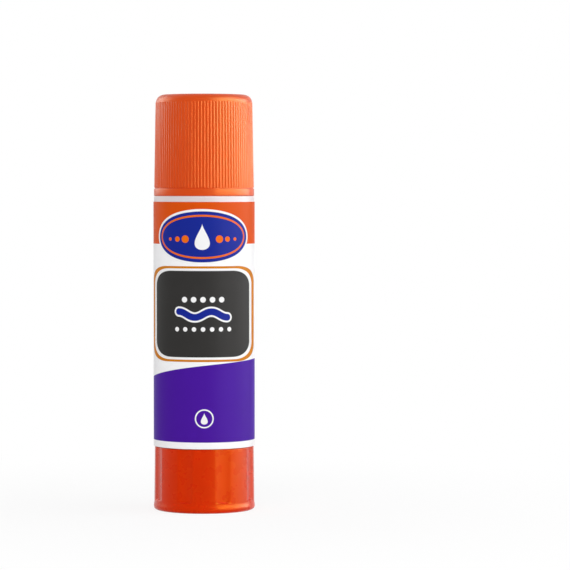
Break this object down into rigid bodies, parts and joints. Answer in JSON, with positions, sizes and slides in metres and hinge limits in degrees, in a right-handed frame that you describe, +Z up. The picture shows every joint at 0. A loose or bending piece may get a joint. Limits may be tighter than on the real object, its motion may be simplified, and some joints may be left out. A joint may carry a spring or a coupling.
{
  "type": "glue stick",
  "caption": "Twist-up glue stick: a ribbed cap lifts off its neck, and turning the fluted base knob drives the glue up on a lead screw.",
  "frame": {"origin": "centre of the base knob's foot ring, on the surface the stick stands on", "axes": "+Z up along the stick's axis, from the knob to the cap; the label's front faces -Y, and its lap seam is at +Y"},
  "size_m": [0.027, 0.0271, 0.1106],
  "materials": {
    "cap_plastic": "satin moulded",
    "barrel_plastic": "satin moulded",
    "label_film": "printed glossy film",
    "glue": "waxy, slightly sheer",
    "carrier_plastic": "moulded",
    "spindle_plastic": "moulded",
    "knob_plastic": "glossy moulded"
  },
  "bodies": {
    "barrel": {"barrel": "barrel_plastic", "label": "label_film"},
    "knob": {"base_knob": "knob_plastic", "spindle": "spindle_plastic"},
    "carriage": {"carrier": "carrier_plastic", "glue_stick": "glue"},
    "cap": {"cap": "cap_plastic"}
  },
  "joints": [
    {"name": "knob_turn", "type": "hinge", "parent": "barrel", "child": "knob", "pos_m": [0, 0, 0], "axis": [0, 0, 1], "range_deg": [0, 4680]},
    {"name": "carriage_rise", "type": "slide", "parent": "barrel", "child": "carriage", "axis": [0, 0, 1], "range_m": [0, 0.0585]},
    {"name": "cap_pull", "type": "slide", "parent": "carriage", "child": "cap", "axis": [0, 0, 1], "range_m": [0, 0.05]}
  ],
  "couplings": [
    {"joint": "knob_turn", "follows": "carriage_rise", "rad_per_m": 1396.3}
  ]
}
